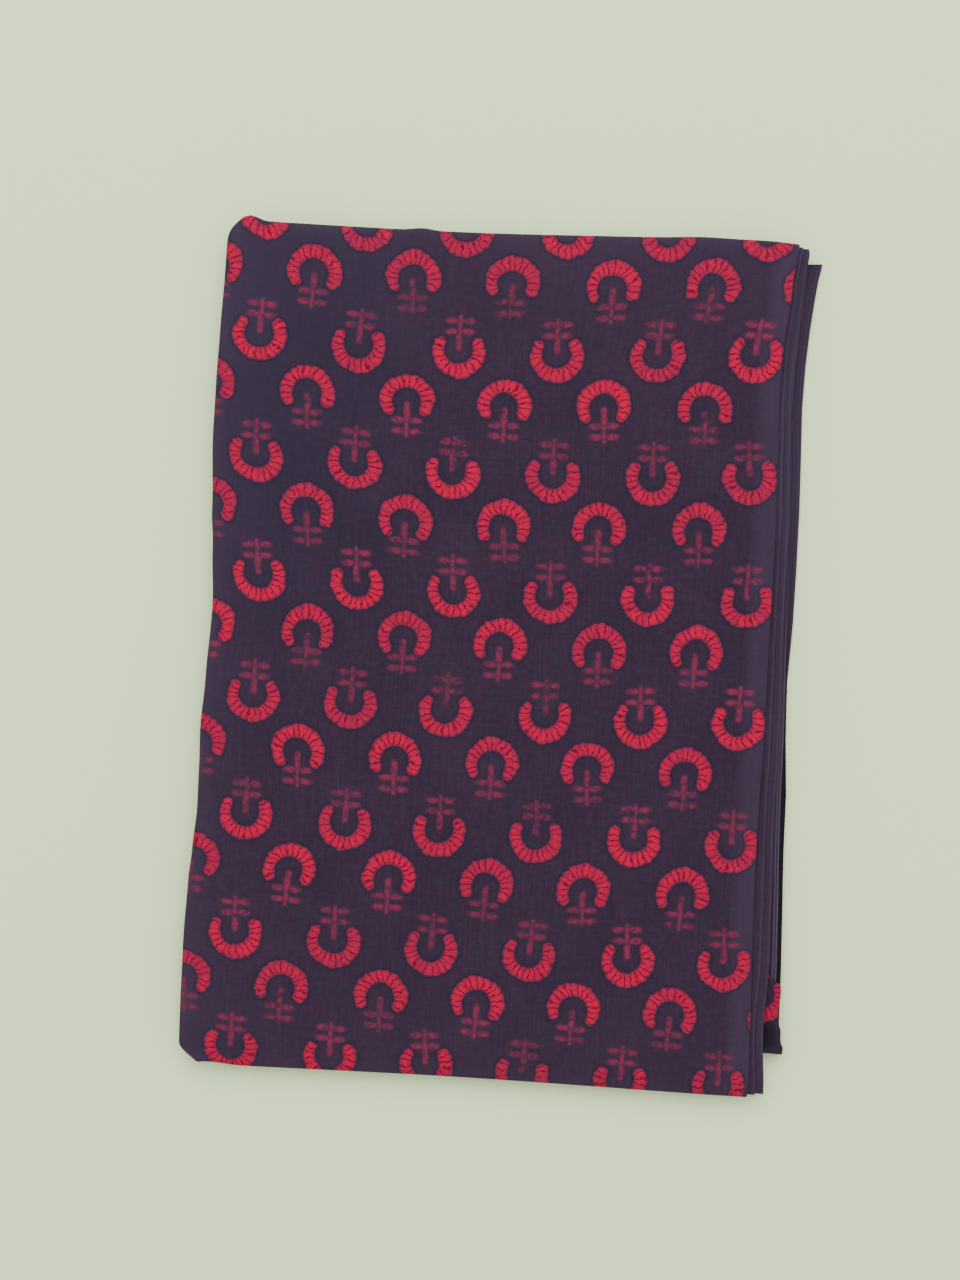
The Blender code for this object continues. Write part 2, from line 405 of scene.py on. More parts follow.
def corner_inset(to_end, side):
    """How far the left fold draws in where the packet's corners are rounded."""
    top = TOP_CORNER * np.exp(-to_end / TOP_CORNER_REACH)
    bottom = BOTTOM_CORNER * np.maximum(0.0, 1 - to_end / BOTTOM_CORNER) ** BOTTOM_CORNER_POWER
    return np.where(side > 0, top, bottom)


# %% How the packet sags and swells
UPPER_LEVELS_FROM, UPPER_LEVELS_BLEND = 3.3, 0.4
HANG_BELOW_Y, HANG_SPAN_Y, HANG_DROP_Y = -0.191, 0.024, 0.0036
HANG_LEFT_X, HANG_SPAN_X, HANG_DROP_X = -0.1435, 0.006, 0.0009
DRAWN_BACK_FROM_Y, DRAWN_BACK_SPAN = 0.12, 0.25
SWELL_AT_FOLDS, SWELL_REACH = 0.07, 0.045
RIPPLE, RIPPLE_LENGTH_X, RIPPLE_LENGTH_Y = 0.022, 0.19, 0.26
RIPPLE_PHASE_X, RIPPLE_PHASE_Y = 0.8, 0.5


def hang(x, y, level):
    upper = smooth((level - UPPER_LEVELS_FROM) / UPPER_LEVELS_BLEND)
    past_bottom = np.maximum(0.0, HANG_BELOW_Y - y) / HANG_SPAN_Y
    past_left = np.clip((HANG_LEFT_X - x) / HANG_SPAN_X, 0.0, 1.0)
    drawn_back = smooth((DRAWN_BACK_FROM_Y - y) / DRAWN_BACK_SPAN)
    return upper * (HANG_DROP_Y * past_bottom**2 + HANG_DROP_X * past_left**2 * drawn_back)


def fullness(x, y):
    to_left, to_top = bell(x, LEFT_FOLD_X, SWELL_REACH), bell(y, HALF_LENGTH, SWELL_REACH)
    ripple_x = np.sin(math.tau * x / RIPPLE_LENGTH_X + RIPPLE_PHASE_X)
    ripple_y = np.cos(math.tau * y / RIPPLE_LENGTH_Y + RIPPLE_PHASE_Y)
    return 1 + SWELL_AT_FOLDS * np.maximum(to_left, to_top) + RIPPLE * ripple_x * ripple_y


# %% Move each point of the square packet to where the uneven one has it
PRESSED = 0.0005


def settle(x, y, z):
    level = (z - HALF_BAND) / BAND
    over = (x - LEFT_FOLD_X) / (RIGHT_EDGE_X - LEFT_FOLD_X)
    up = (y + HALF_LENGTH) / (2 * HALF_LENGTH)
    left_bow, right_bow = edge_bow(y)
    top = mix(TOP_EDGE_LEFT, TOP_EDGE_RIGHT, over)
    top = top - TOP_EDGE_WAVE * np.sin(math.tau * (over - TOP_WAVE_FROM))
    bottom = mix(BOTTOM_EDGE_LEFT, BOTTOM_EDGE_RIGHT, over)
    bottom = bottom + BOTTOM_EDGE_RISE * np.sin(math.pi * np.clip(over, 0, 1)) ** 2
    settled_x = x + mix(left_bow, right_bow, over)
    settled_y = y + mix(bottom, top, up)
    settled_y += stands_out(TOP_BUMPS, x, HALF_LENGTH - y) - stands_out(BOTTOM_BUMPS, x, HALF_LENGTH + y)
    settled_z = PRESSED + (z - PRESSED) * fullness(x, y) - hang(x, y, level)
    return settled_x, settled_y, settled_z


# %% Lay the square packet out
DRAWN_IN, DRAWN_IN_Y, DRAWN_IN_REACH = 0.0008, -0.115, 0.045
LOWER_LEVELS_TO, LOWER_LEVELS_BLEND = 2.5, 0.4
LOWER_SPREAD, LOWER_SPREAD_MORE, MORE_BELOW_Y, MORE_SPAN = 0.0003, 0.0013, -0.030, 0.020
LOWER_DENT, DENT_Y, DENT_REACH = 0.0018, -0.018, 0.022
CORNER_IN, CORNER_IN_Y, CORNER_IN_REACH = 0.0018, -0.182, 0.024
fold_x = LEFT_FOLD_X + along["left"] + corner_inset(along["to_end"], along["side"]) + HALF_BAND
edge_x = np.where(across["ply"] <= 2, along["centre_fold"] - CENTRE_RADIUS, along["selvedge_4"])
edge_x = RIGHT_EDGE_X + np.where(across["ply"] == 3, along["selvedge_3"], edge_x)
drawn_in = DRAWN_IN * bell(along["y"], DRAWN_IN_Y, DRAWN_IN_REACH) * along["top"]
edge_x = edge_x - drawn_in * (across["ply"] <= 2)
level_here = (along["z"] - HALF_BAND) / BAND
is_lower = smooth((LOWER_LEVELS_TO - level_here) / LOWER_LEVELS_BLEND)
spread = LOWER_SPREAD + LOWER_SPREAD_MORE * smooth((MORE_BELOW_Y - along["y"]) / MORE_SPAN)
spread = spread - LOWER_DENT * bell(along["y"], DENT_Y, DENT_REACH)
edge_x = edge_x + is_lower * spread * (across["ply"] >= 3)
is_upper = smooth((level_here - UPPER_LEVELS_FROM) / UPPER_LEVELS_BLEND)
corner_in = CORNER_IN * bell(along["y"], CORNER_IN_Y, CORNER_IN_REACH)
edge_x = edge_x - is_upper * corner_in * (across["ply"] >= 3)
square_x = mix(edge_x, fold_x, across["share"]) + across["stands_right"]
square_y = along["y"] + across["lift"] * along["out_y"]
square_z = along["z"] + across["lift"] * along["out_z"]
settled = np.stack(settle(square_x, square_y, square_z), axis=-1)
print("settled packet, in mm:", np.round(1000 * np.ptp(settled.reshape(-1, 3), axis=0), 1))

# %% [markdown]
# ## Every thread's own place in the flat cloth
#
# The print and the weave belong to the flat cloth, so each point of the grid also needs its place
# there: how far across the width, and how far along the length. Both are measured along the folded
# cloth itself, so nothing stretches round a fold. They start from the middle of the top length.
# Blender could unwrap the mesh, but its way of flattening a shape would only come near this.

# %% Measure along and across the cloth
across_steps = np.hypot(np.diff(square_x, axis=1), np.diff(across["lift"], axis=1))
cloth_u = np.concatenate([np.zeros((len(rows), 1)), np.cumsum(across_steps, axis=1)], axis=1)
start_u = square_x[:, first_seen] - along["left"][:, 0]
cloth_u += (start_u - cloth_u[:, first_seen])[:, None]

along_steps = np.hypot(np.diff(along["y"][:, 0]), np.diff(along["z"][:, 0]))
cloth_v = -np.concatenate([[0.0], np.cumsum(along_steps)])
first_top = int(np.argmax((along["top"][:, 0] == 1) & (along["bend"][:, 0] == 0)))
cloth_v += along["y"][first_top, 0] - cloth_v[first_top]
cloth_v = np.broadcast_to(cloth_v[:, None], cloth_u.shape)
print("flat cloth:", round(np.ptp(cloth_u, axis=1).mean(), 3), "m wide,", round(np.ptp(cloth_v), 3), "m long")

# %% [markdown]
# ## Small unevenness of the top ply
#
# Pressed cotton keeps a little life. On the top ply a few soft ridges run down beside the right edge,
# where the folds under it end, and the surface lifts and dips very slightly everywhere. This relief
# only ever lifts the ply, since the next one lies right under it. The loose corner at the lower right
# has nothing over it, and curls up a little. All this could be sculpted, but a formula keeps each
# height where it can be read and changed.

# %% Lift the top ply by a few listed ridges
RIDGES = (Bump(0.1130, 0.0022, 0.00035), Bump(0.1190, 0.0016, 0.00028), Bump(0.1262, 0.0020, 0.00040))
RIDGE_SWAY, RIDGE_SWAY_LENGTH = 0.0016, 0.31
RIDGE_WAVE, RIDGE_WAVE_LENGTH, RIDGE_WAVE_SHIFT = 0.35, 0.19, 40
EAR_LIFT, EAR_LIFT_WIDER, EAR_LIFT_SPAN = 0.0010, 1.3, 0.02


def soft_waves(x, y, height, length, wind, wind_length):
    """Low waves along x, whose crests wind a little as y goes."""
    winding = wind * np.sin(math.tau * y / wind_length)
    return height * (1 + np.sin(math.tau * x / length + winding))


on_top_ply = (across["ply"] == 1) * along["top"]
sway = RIDGE_SWAY * np.sin(math.tau * square_y / RIDGE_SWAY_LENGTH)
lift = soft_waves(square_x, square_y, height=0.00012, length=0.083, wind=1.3, wind_length=0.21)
lift += soft_waves(square_y, square_x, height=0.00010, length=0.117, wind=1.1, wind_length=0.16)
for ridge in RIDGES:
    wave = np.sin(math.tau * square_y / RIDGE_WAVE_LENGTH + RIDGE_WAVE_SHIFT * ridge.x)
    wave = 1 - RIDGE_WAVE + RIDGE_WAVE * wave
    lift += ridge.height * wave * bell(square_x - sway, ridge.x, ridge.width)
beside_ear = bell(square_x, EAR.x, EAR_LIFT_WIDER * EAR.width)
lift += EAR_LIFT * beside_ear * smooth((square_y - HALF_LENGTH + EAR_LIFT_SPAN) / EAR_LIFT_SPAN)
settled[..., 2] += lift * on_top_ply
print("the top ply lifts by up to", round(1000 * float((lift * on_top_ply).max()), 2), "mm")

# %% Curl the corner that shows from under the top lengths
CURL_HEIGHT, CURL_FROM_X, CURL_SPAN_X, CURL_TO_END = 0.0022, 0.1450, 0.0060, 0.040
# The corner is the bottom end of the length between the inner top turn and the outer bottom turn.
corner_rows = np.zeros((len(rows), 1))
corner_rows[starts_at[4] : starts_at[5] + len(turned[5])] = 1.0
on_corner = corner_rows * (along["side"] < 0) * smooth(level_here / 3)
curl = smooth((square_x - CURL_FROM_X) / CURL_SPAN_X) * smooth(1 - along["to_end"] / CURL_TO_END)
settled[..., 2] += CURL_HEIGHT * curl * on_corner
print("the corner curls up by", round(1000 * float((CURL_HEIGHT * curl * on_corner).max()), 1), "mm")

# %% [markdown]
# ## From a grid of points to woven cloth
#
# A Solidify modifier could thicken the grid. It is done here instead, so that the face and the
# reverse of the cloth stay apart: the print is strong on one and faint on the other. Each point is
# moved half the cloth's thickness to either side, along the grid's own normal.


# %% Which way the face of the cloth looks
def directions(points, axis):
    """The direction of the grid's lines at each point, as the mean of the steps before and after."""
    steps = np.diff(points, axis=axis)
    steps /= np.linalg.norm(steps, axis=-1, keepdims=True)
    first, last = np.take(steps, [0], axis=axis), np.take(steps, [-1], axis=axis)
    return np.concatenate([first, steps], axis=axis) + np.concatenate([steps, last], axis=axis)


facing = np.cross(directions(settled, 0), directions(settled, 1))
facing /= np.linalg.norm(facing, axis=-1, keepdims=True)
face_side = settled + facing * THREAD_SHEET / 2
reverse_side = settled - facing * THREAD_SHEET / 2

# %% Set the cloth in the frame, whose origin is the middle of the packet's footprint
SET_X, SET_Y = -0.0039, -0.0002
points = np.stack([face_side, reverse_side]).reshape(-1, 3)
raised = -points[:, 2].min()
points += (SET_X, SET_Y, raised)
print("the cloth is raised by", round(1000 * raised, 3), "mm, so that it just lies on the table")

# %% The cloth's faces
numbers = np.arange(cloth_u.size).reshape(cloth_u.shape)
to_reverse = cloth_u.size


def at_corners(grid):
    """The values at the four corners of every square of the grid."""
    return np.stack([grid[:-1, :-1], grid[1:, :-1], grid[1:, 1:], grid[:-1, 1:]], axis=2)


def border(line):
    """The narrow faces that join the cloth's face to its reverse along one side."""
    reverse_line = line + to_reverse
    return np.stack([line[:-1], line[1:], reverse_line[1:], reverse_line[:-1]], axis=-1)


face_squares = at_corners(numbers).reshape(-1, 4)
reverse_squares = face_squares[:, ::-1] + to_reverse
rims = [border(line) for line in (numbers[::-1, 0], numbers[:, -1], numbers[0], numbers[-1, ::-1])]
faces = np.concatenate([face_squares, reverse_squares, *rims])
print("the cloth has", len(faces), "faces")


# %% Make the cloth's mesh
def add_object(name, data):
    made = bpy.data.objects.new(name, data)
    bpy.context.scene.collection.objects.link(made)
    return made


SHARP_ANGLE = math.radians(50)
mesh = bpy.data.meshes.new("folded_printed_cotton")
mesh.from_pydata(points.tolist(), [], faces.tolist())
cloth = add_object("folded_printed_cotton", mesh)
mesh.shade_smooth()
mesh.set_sharp_from_angle(angle=SHARP_ANGLE)
print("triangles:", sum(len(face.vertices) - 2 for face in mesh.polygons))

# %% [markdown]
# ## Where the blocks fell
#
# A printer works along the cloth with a wooden block, setting each impression by eye against the last.
# So the rows sway a little, the columns lean, and no two motifs sit quite alike. A second map on the
# mesh holds this: it counts in columns and rows of the repeat, not in metres. Whole numbers are the
# centres of the upright crescents. The motifs could be set down one by one, but the whole cloth has
# nearly two thousand of them.

# %% The repeat and its drift, in metres
COLUMN_PITCH = 0.04942
ROW_PITCH = 0.06038
FIRST_COLUMN_U, FIRST_ROW_V = -0.12483, 0.15180
COLUMNS_LEAN, COLUMNS_BEND, COLUMNS_SPREAD = -0.0081, -0.041, 0.088
ROWS_TILT, ROWS_STRETCH, ROWS_TWIST = -0.0074, 0.0335, 0.0445
ROW_SWAY, ROW_SWAY_LENGTH = 0.00218, 0.45
STEADY_WITHIN = 0.45
LATER_COLUMN_DRIFT, LATER_ROW_DRIFT = 0.0184, -0.0186
LATER_FROM_V, LATER_TO_V = -0.26, -0.66


def block_places(u, v):
    """Turns a place in the flat cloth into columns and rows of the repeat."""
    gone = STEADY_WITHIN * np.sin(v / STEADY_WITHIN)
    aside = STEADY_WITHIN * np.sin(u / STEADY_WITHIN)
    later = eases(v, LATER_FROM_V, LATER_TO_V)
    lean = COLUMNS_LEAN * gone + COLUMNS_BEND * gone**2 + COLUMNS_SPREAD * aside * gone
    tilt = ROWS_TILT * aside + ROWS_STRETCH * gone**2 + ROWS_TWIST * aside * gone
    sway = ROW_SWAY * (1 - np.cos(math.tau * u / ROW_SWAY_LENGTH))
    column = (u - FIRST_COLUMN_U - lean - LATER_COLUMN_DRIFT * later) / COLUMN_PITCH
    row = (FIRST_ROW_V + sway + tilt - v + LATER_ROW_DRIFT * later) / ROW_PITCH
    return column, row


columns, print_rows = block_places(cloth_u, cloth_v)
print("the cloth takes", round(np.ptp(columns), 1), "columns and", round(np.ptp(print_rows), 1), "rows")


# %% Store the maps on the mesh
def corner_values(first, second):
    """Pairs of values for every face corner, from values on the grid."""
    pairs = np.stack([first, second], axis=-1).reshape(-1, 2)
    pairs = np.concatenate([pairs, pairs])
    return pairs[faces.reshape(-1)]


def add_map(name, pairs):
    layer = mesh.uv_layers.new(name=name)
    layer.data.foreach_set("uv", pairs.astype(np.float32).reshape(-1))


add_map("Cloth", corner_values(cloth_u, cloth_v))
add_map("Blocks", corner_values(columns, print_rows))

# %% [markdown]
# ## Wear, painted light and painted shade along the folds
#
# A folded cloth wears where it is folded, so its dye is worn paler along the left fold, at both ends and
# beside the right edge. This paleness is partly wear and partly painted light, and so the top end is
# made paler than the bottom one. Little of the print is left on the edges that stick out at the right,
# and their ground is made paler with painted light, most of all on the upper lengths and towards the
# top. Their selvedges are a little paler, and on the fourth length up they get a painted highlight.
# Lower down, the lowest edges get painted shade, and so does the hollow of the loose corner.
#
# It could be painted on the mesh by hand. But each point knows how far it is from every fold, so the
# wear, the painted light and the painted shade are worked out from that, and stored on the mesh as
# plain numbers for the material to read.


# %% Store which side is the face, and how near each point is to a selvedge
def add_number(name, on_face, on_reverse=None):
    """Stores one number for every point. The reverse has the face's numbers, unless it has its own."""
    both = (on_face, on_face if on_reverse is None else on_reverse)
    both = np.stack([np.broadcast_to(values, cloth_u.shape) for values in both])
    layer = mesh.attributes.new(name, "FLOAT", "POINT")
    layer.data.foreach_set("value", both.astype(np.float32).reshape(-1))
    print("stored", name, "from", round(float(both.min()), 4), "to", round(float(both.max()), 4))


add_number("face_side", 1.0, on_reverse=0.0)
add_number("to_selvedge", np.minimum(cloth_u - cloth_u[:, :1], cloth_u[:, -1:] - cloth_u))

# %% Store where the folds are paler, partly from wear and partly from painted light
RUBBED, RUBBED_WIDTH = 0.45, 0.0035
LEFT_WEAR_AND_LIGHT, LEFT_WEAR_AND_LIGHT_WIDTH = 0.55, 0.018
END_WEAR_AND_LIGHT, END_WEAR_AND_LIGHT_WIDTH, BOTTOM_END_SHARE = 0.45, 0.040, 0.45
RIGHT_WEAR, RIGHT_WEAR_FROM, RIGHT_WEAR_TO = 0.75, 0.0125, 0.0075
to_left_fold = square_x - (fold_x - OUTER_RADIUS)
to_end_fold = np.maximum(0.0, along["to_end"])
to_centre_fold = np.maximum(0.0, edge_x + CENTRE_RADIUS - square_x)
beside_right = eases(to_centre_fold, RIGHT_WEAR_FROM, RIGHT_WEAR_TO)
# Paler along the folds: partly wear, and partly painted light.
worn_and_painted_light = RUBBED * (np.exp(-to_left_fold / RUBBED_WIDTH) + np.exp(-to_end_fold / RUBBED_WIDTH))
worn_and_painted_light = worn_and_painted_light + LEFT_WEAR_AND_LIGHT * np.exp(-to_left_fold / LEFT_WEAR_AND_LIGHT_WIDTH)
# The ends are paler, partly from wear and partly from painted light, so the top end is made paler than the
# bottom.
at_end = END_WEAR_AND_LIGHT * np.exp(-to_end_fold / END_WEAR_AND_LIGHT_WIDTH)
at_end = at_end * np.where(along["side"] > 0, 1.0, BOTTOM_END_SHARE)
worn_and_painted_light = worn_and_painted_light + (at_end + RIGHT_WEAR * beside_right) * on_top_ply
add_number("worn_and_painted_light", np.clip(worn_and_painted_light, 0, 1))

# %% Store what sticks out at the right: its print is worn, and its ground gets painted light
STICKS_OUT_SPAN = 0.002
PALE_FROM_LEVEL, PALE_LEVELS = 2.4, 0.5
PALE_FROM_Y, PALE_SPAN_Y = -0.02, 0.12
FRESH_TO_END, FRESH_SPAN = 0.046, 0.006
UPPER_PALE_SHARE = 0.6
# The ground's paleness on these edges is painted light, most on the upper lengths and towards the top.
pale_level = smooth((level_here - PALE_FROM_LEVEL) / PALE_LEVELS)
near_top = smooth((square_y - PALE_FROM_Y) / PALE_SPAN_Y)
past_edge = smooth((square_x - RIGHT_EDGE_X) / STICKS_OUT_SPAN)
sticks_out = past_edge * np.maximum(pale_level * mix(UPPER_PALE_SHARE, 1.0, near_top), near_top)
sticks_out = sticks_out * (1 - on_top_ply)
fresh_corner = on_corner * smooth((FRESH_TO_END - along["to_end"]) / FRESH_SPAN)
add_number("sticks_out", sticks_out * (1 - fresh_corner))
# The lower lengths get painted light there too, towards the top.
add_number("painted_light_edge", past_edge * is_lower * near_top)

# %% Store which selvedges get a painted highlight, and where painted shade goes
SELVEDGE_LIGHT, SELVEDGE_LIGHT_AT_MOST = 0.25, 0.90
LIT_LEVEL, LIT_SPREAD, LIT_TO_LEVEL = 3.0, 1.0, 3.5
DARK_BELOW_Y, DARK_SPAN_Y = 0.0, 0.05
HOLLOW_X, HOLLOW_REACH_X, HOLLOW_SPAN, HOLLOW_TO_END = 0.1440, 0.0050, 0.004, 0.0165
# A painted highlight on the selvedges of the fourth length up, away from the top.
painted_highlight = bell(level_here, LIT_LEVEL, LIT_SPREAD) * (1 - near_top)
painted_highlight = painted_highlight * (level_here > PALE_FROM_LEVEL) * (level_here < LIT_TO_LEVEL)
add_number("selvedge_light", mix(SELVEDGE_LIGHT, SELVEDGE_LIGHT_AT_MOST, painted_highlight))
# Painted shade on the lowest lengths, in the lower half of the packet; the material puts it beside their
# selvedges.
add_number("painted_shade_edge", is_lower * smooth((DARK_BELOW_Y - square_y) / DARK_SPAN_Y))
# Painted shade in the hollow of the loose corner.
hollow = bell(square_x, HOLLOW_X, HOLLOW_REACH_X) * on_corner * (across["ply"] == 1)
hollow = hollow * smooth(along["to_end"] / HOLLOW_SPAN)
hollow = hollow * smooth((HOLLOW_TO_END - along["to_end"]) / HOLLOW_SPAN)
add_number("hollow", hollow)

# %% [markdown]
# ## A map for carrying the finish away
#
# The finish is worked out point by point, which other programs can't do. So a map with the name OFBake
# lays the cloth out in one square picture, into which the finish can be painted. What is seen gets most
# of the picture: the top length more than half, and the underside less. The hidden cloth gets a small
# plan of each side of the whole sheet, and its thin rims get a few narrow strips.

# %% What goes where in the picture
PICTURE = 1024.0
PLAN_SCALE = 6.0


class Patch(NamedTuple):
    """A part of the cloth in the picture. Its corner is in dots, counted from the bottom left."""

    rows: slice
    places: slice
    reverse: int
    left: float
    bottom: float
    mm_per_dot: float
    lies_down: int


top_rows = slice(starts_at[2], starts_at[3] + len(turned[3]) - 1)
level_3_rows = slice(starts_at[4], starts_at[5])
underside_rows = slice(starts_at[5], starts_at[6])
first_ply = slice(len(hidden) - 1, after_seen + INNER_FOLD_STEPS - 1)
beside_centre_fold = slice(after_seen - 8, after_seen + INNER_FOLD_STEPS - 1)
first_selvedge, last_selvedge = slice(0, 5), slice(len(places) - 6, len(places) - 1)
PATCHES = (
    Patch(top_rows, first_ply, 0, 3, 3, 0.49, 0),
    Patch(underside_rows, first_ply, 0, 604, 3, 0.72, 0),
    Patch(level_3_rows, beside_centre_fold, 0, 3, 912, 1.10, 1),
    Patch(top_rows, last_selvedge, 0, 3, 946, 1.10, 1),
    Patch(top_rows, first_selvedge, 1, 3, 985, 1.10, 1),
)
PLAN_CORNERS = ((604.0, 580.0), (802.0, 580.0))
RIM_CORNERS = ((604.0, 1000.0), (604.0, 1006.0), (604.0, 1012.0), (804.0, 1012.0))
RIM_WIDTH = 3.0


# %% Lay the parts out
def laid_out(part, reverse, mm_per_dot, lies_down):
    """Places in the picture, in dots from the part's own corner."""
    x, y = part[..., 0], part[..., 1]
    if reverse:
        x = -x
    if lies_down:
        x, y = -y, x
    return np.stack([x - x.min(), y - y.min()], axis=-1) / mm_per_dot


flat_mm = at_corners(np.stack([cloth_u, cloth_v], axis=-1) * 1000)
sides = [laid_out(flat_mm, side, PLAN_SCALE, 0) + PLAN_CORNERS[side] for side in (0, 1)]
for patch in PATCHES:
    part = flat_mm[patch.rows, patch.places]
    part = laid_out(part, patch.reverse, patch.mm_per_dot, patch.lies_down)
    print("patch:", np.round(part.reshape(-1, 2).max(axis=0)), "dots")
    sides[patch.reverse][patch.rows, patch.places] = part + (patch.left, patch.bottom)


# %% Lay the rims out, and store the map
def rim_strip(line, corner):
    here = np.abs(line - line[0]) * 1000 / PLAN_SCALE + corner[0]
    low, high = np.full(len(here) - 1, corner[1]), np.full(len(here) - 1, corner[1] + RIM_WIDTH)
    ends = [(here[:-1], low), (here[1:], low), (here[1:], high), (here[:-1], high)]
    return np.stack([np.stack(end, axis=-1) for end in ends], axis=1)


rim_lines = (cloth_v[::-1, 0], cloth_v[:, -1], cloth_u[0], cloth_u[-1, ::-1])
strips = [rim_strip(line, corner) for line, corner in zip(rim_lines, RIM_CORNERS)]
picture = [sides[0].reshape(-1, 4, 2), sides[1].reshape(-1, 4, 2)[:, ::-1], *strips]
picture = np.concatenate(picture) / PICTURE
print("the picture is filled from", picture.min((0, 1)).round(3), "to", picture.max((0, 1)).round(3))
add_map("OFBake", picture.reshape(-1, 2))

# %% [markdown]
# ## A small language for the print
#
# The print is worked out by the material, from the maps. Hundreds of nodes that add and multiply are
# hard to read when each is made by hand, so one small class stands for the output of a node. Writing
# `a + b` with it makes the node that adds them.

# %% One way to make every node
material = bpy.data.materials.new("printed_cotton")
material.use_nodes = True
tree = material.node_tree


def feed(node, values):
    """Gives a node's inputs their values. The outputs of other nodes are linked, and constants are set."""
    for key, value in values.items():
        if isinstance(value, Amount):
            value = value.socket
        if isinstance(value, bpy.types.NodeSocket):
            tree.links.new(value, node.inputs[key])
        else:
            node.inputs[key].default_value = value


def new_node(kind, values, **settings):
    """Makes a node. The values go by the names or the numbers of its inputs."""
    node = tree.nodes.new("ShaderNode" + kind)
    for name, setting in settings.items():
        setattr(node, name, setting)
    feed(node, values)
    return node


def calculate(operation, *values):
    return Amount(new_node("Math", dict(enumerate(values)), operation=operation).outputs[0])


# %% Ordinary arithmetic that makes nodes
class Amount:
    """One number that changes over the cloth."""

    def __init__(self, socket):
        self.socket = socket

    def __add__(self, other):
        return calculate("ADD", self, other)

    def __sub__(self, other):
        return calculate("SUBTRACT", self, other)

    def __rsub__(self, other):
        return calculate("SUBTRACT", other, self)

    def __mul__(self, other):
        return calculate("MULTIPLY", self, other)

    def __truediv__(self, other):
        return calculate("DIVIDE", self, other)

    __radd__ = __add__
    __rmul__ = __mul__


# %% The sums that the print needs most
absolute = partial(calculate, "ABSOLUTE")
least = partial(calculate, "MINIMUM")
most = partial(calculate, "MAXIMUM")


def length_of(x, y):
    return calculate("SQRT", x * x + y * y)


def fades(value, start, end, low=0.0, high=1.0):
    """Goes gently from low to high as the value goes from start to end."""
    values = dict(enumerate((value, start, end, low, high)))
    return Amount(new_node("MapRange", values, interpolation_type="SMOOTHSTEP").outputs[0])


def choose(share, a, b):
    """a where share is 0, b where it is 1."""
    return Amount(new_node("Mix", {0: share, 2: a, 3: b}).outputs[0])


def blend(share, a, b):
    """One colour over another."""
    return new_node("Mix", {0: share, 6: a, 7: b}, data_type="RGBA").outputs[2]


# %% Reading the maps, and unevenness
MM = 1000.0


def read_map(name):
    x, y, _ = new_node("SeparateXYZ", {0: new_node("UVMap", {}, uv_map=name).outputs[0]}).outputs
    return Amount(x), Amount(y)


def read_number(name):
    return Amount(new_node("Attribute", {}, attribute_name=name).outputs["Fac"])


def together(x, y, z=0.0):
    return new_node("CombineXYZ", {0: x, 1: y, 2: z}).outputs[0]


def unevenness(x, y, z=0.0, detail=2.0, roughness=0.5):
    """Noise about one unit across, from 0 to 1."""
    values = {"Vector": together(x, y, z), "Scale": 1.0, "Detail": detail, "Roughness": roughness}
    return Amount(new_node("TexNoise", values).outputs[0])


def in_three(colour):
    return [Amount(socket) for socket in new_node("SeparateColor", {0: colour}).outputs]


def dice(x, y, z=0.0):
    """Three numbers from 0 to 1 that are the same for the same place."""
    return in_three(new_node("TexWhiteNoise", {0: together(x, y, z)}).outputs["Color"])


u_metres, v_metres = read_map("Cloth")
u_mm, v_mm = u_metres * MM, v_metres * MM
column, row = read_map("Blocks")

# %% [markdown]
# ## Finding the nearest motif
#
# The crescents stand in two sets. One set is upright, and the other, half a column over, is turned
# round. Each point of the cloth asks both sets for their nearest motif and keeps the nearer of the
# two. It is then measured from that motif's centre, in millimetres, as if the motif stood upright. The
# block for the turned set went down a little aside on every other row, most of all at the right. Its
# last column stands further out. Thin copies of a motif could be laid on the cloth instead, but dye has
# no thickness, and it follows every fold.

# %% Measure from the nearest motif of each set
TURNED_SET_ROW = 0.0340 / ROW_PITCH
ASIDE_IN_THE_MIDDLE, ASIDE_PER_METRE = 0.0010, 0.0085
LAST_COLUMN_FROM, LAST_COLUMN_ASIDE = 5.0, 0.0037
ASIDE_FROM_V, ASIDE_TO_V = 0.175, 0.135
TOP_LENGTH_FROM_V, TOP_LENGTH_TO_V = -0.26, -0.21
MOTIF_MIDDLE = 3.5
TURNED_SET_FROM = 100.0  # its columns are numbered from here, so that no two motifs share their chances


def from_nearest(column, row):
    nearest_column, nearest_row = calculate("ROUND", column), calculate("ROUND", row)
    x = (column - nearest_column) * (COLUMN_PITCH * MM)
    y = (nearest_row - row) * (ROW_PITCH * MM)
    return x, y, nearest_column, nearest_row


on_the_top = fades(v_metres, TOP_LENGTH_FROM_V, TOP_LENGTH_TO_V)
upright_x, upright_y, upright_column, upright_row = from_nearest(column, row)
every_other = calculate("FLOORED_MODULO", calculate("ROUND", row + TURNED_SET_ROW), 2.0) - 0.5
aside = every_other * (u_metres * ASIDE_PER_METRE + ASIDE_IN_THE_MIDDLE) / COLUMN_PITCH
in_last_column = calculate("GREATER_THAN", column, LAST_COLUMN_FROM)
in_last_column = in_last_column * fades(v_metres, ASIDE_FROM_V, ASIDE_TO_V)
aside = aside + in_last_column * (LAST_COLUMN_ASIDE / COLUMN_PITCH)
turned_from = column - 0.5 - aside * on_the_top
turned_x, turned_y, turned_column, turned_row = from_nearest(turned_from, row + TURNED_SET_ROW)

to_upright = length_of(upright_x, upright_y - MOTIF_MIDDLE)
to_turned = length_of(turned_x, turned_y + MOTIF_MIDDLE)
is_turned = calculate("LESS_THAN", to_turned, to_upright)

motif_x = choose(is_turned, upright_x, turned_x * -1.0)
motif_y = choose(is_turned, upright_y, turned_y * -1.0)
motif_column = choose(is_turned, upright_column, turned_column + TURNED_SET_FROM)
motif_row = choose(is_turned, upright_row, turned_row)

